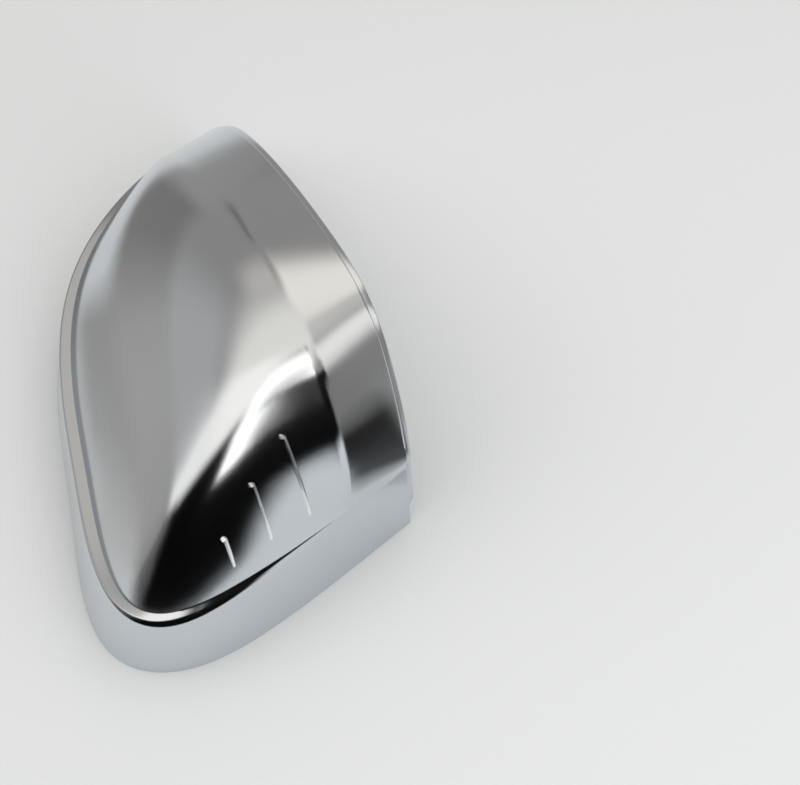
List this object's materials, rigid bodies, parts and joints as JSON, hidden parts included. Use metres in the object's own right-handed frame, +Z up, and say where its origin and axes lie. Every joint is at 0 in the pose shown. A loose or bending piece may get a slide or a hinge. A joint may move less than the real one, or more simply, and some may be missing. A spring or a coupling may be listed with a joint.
{
  "type": "wing mirror cover",
  "caption": "Moulded cover cap for a car's wing mirror: a ridged dome over an upright skirt, open underneath and along one side, with a lip, strakes and snap hooks.",
  "frame": {"origin": "middle of the cover's plan, on the plane of its rim", "axes": "+Z up from the rim, +Y along the cover to its narrow end, +X out of the open side"},
  "size_m": [0.128, 0.2358, 0.0999],
  "materials": {
    "satin_chrome": "satin chrome plate on moulded plastic, with a fine grain"
  },
  "bodies": {
    "root": {"mirror_cover": "satin_chrome"}
  },
  "joints": []
}
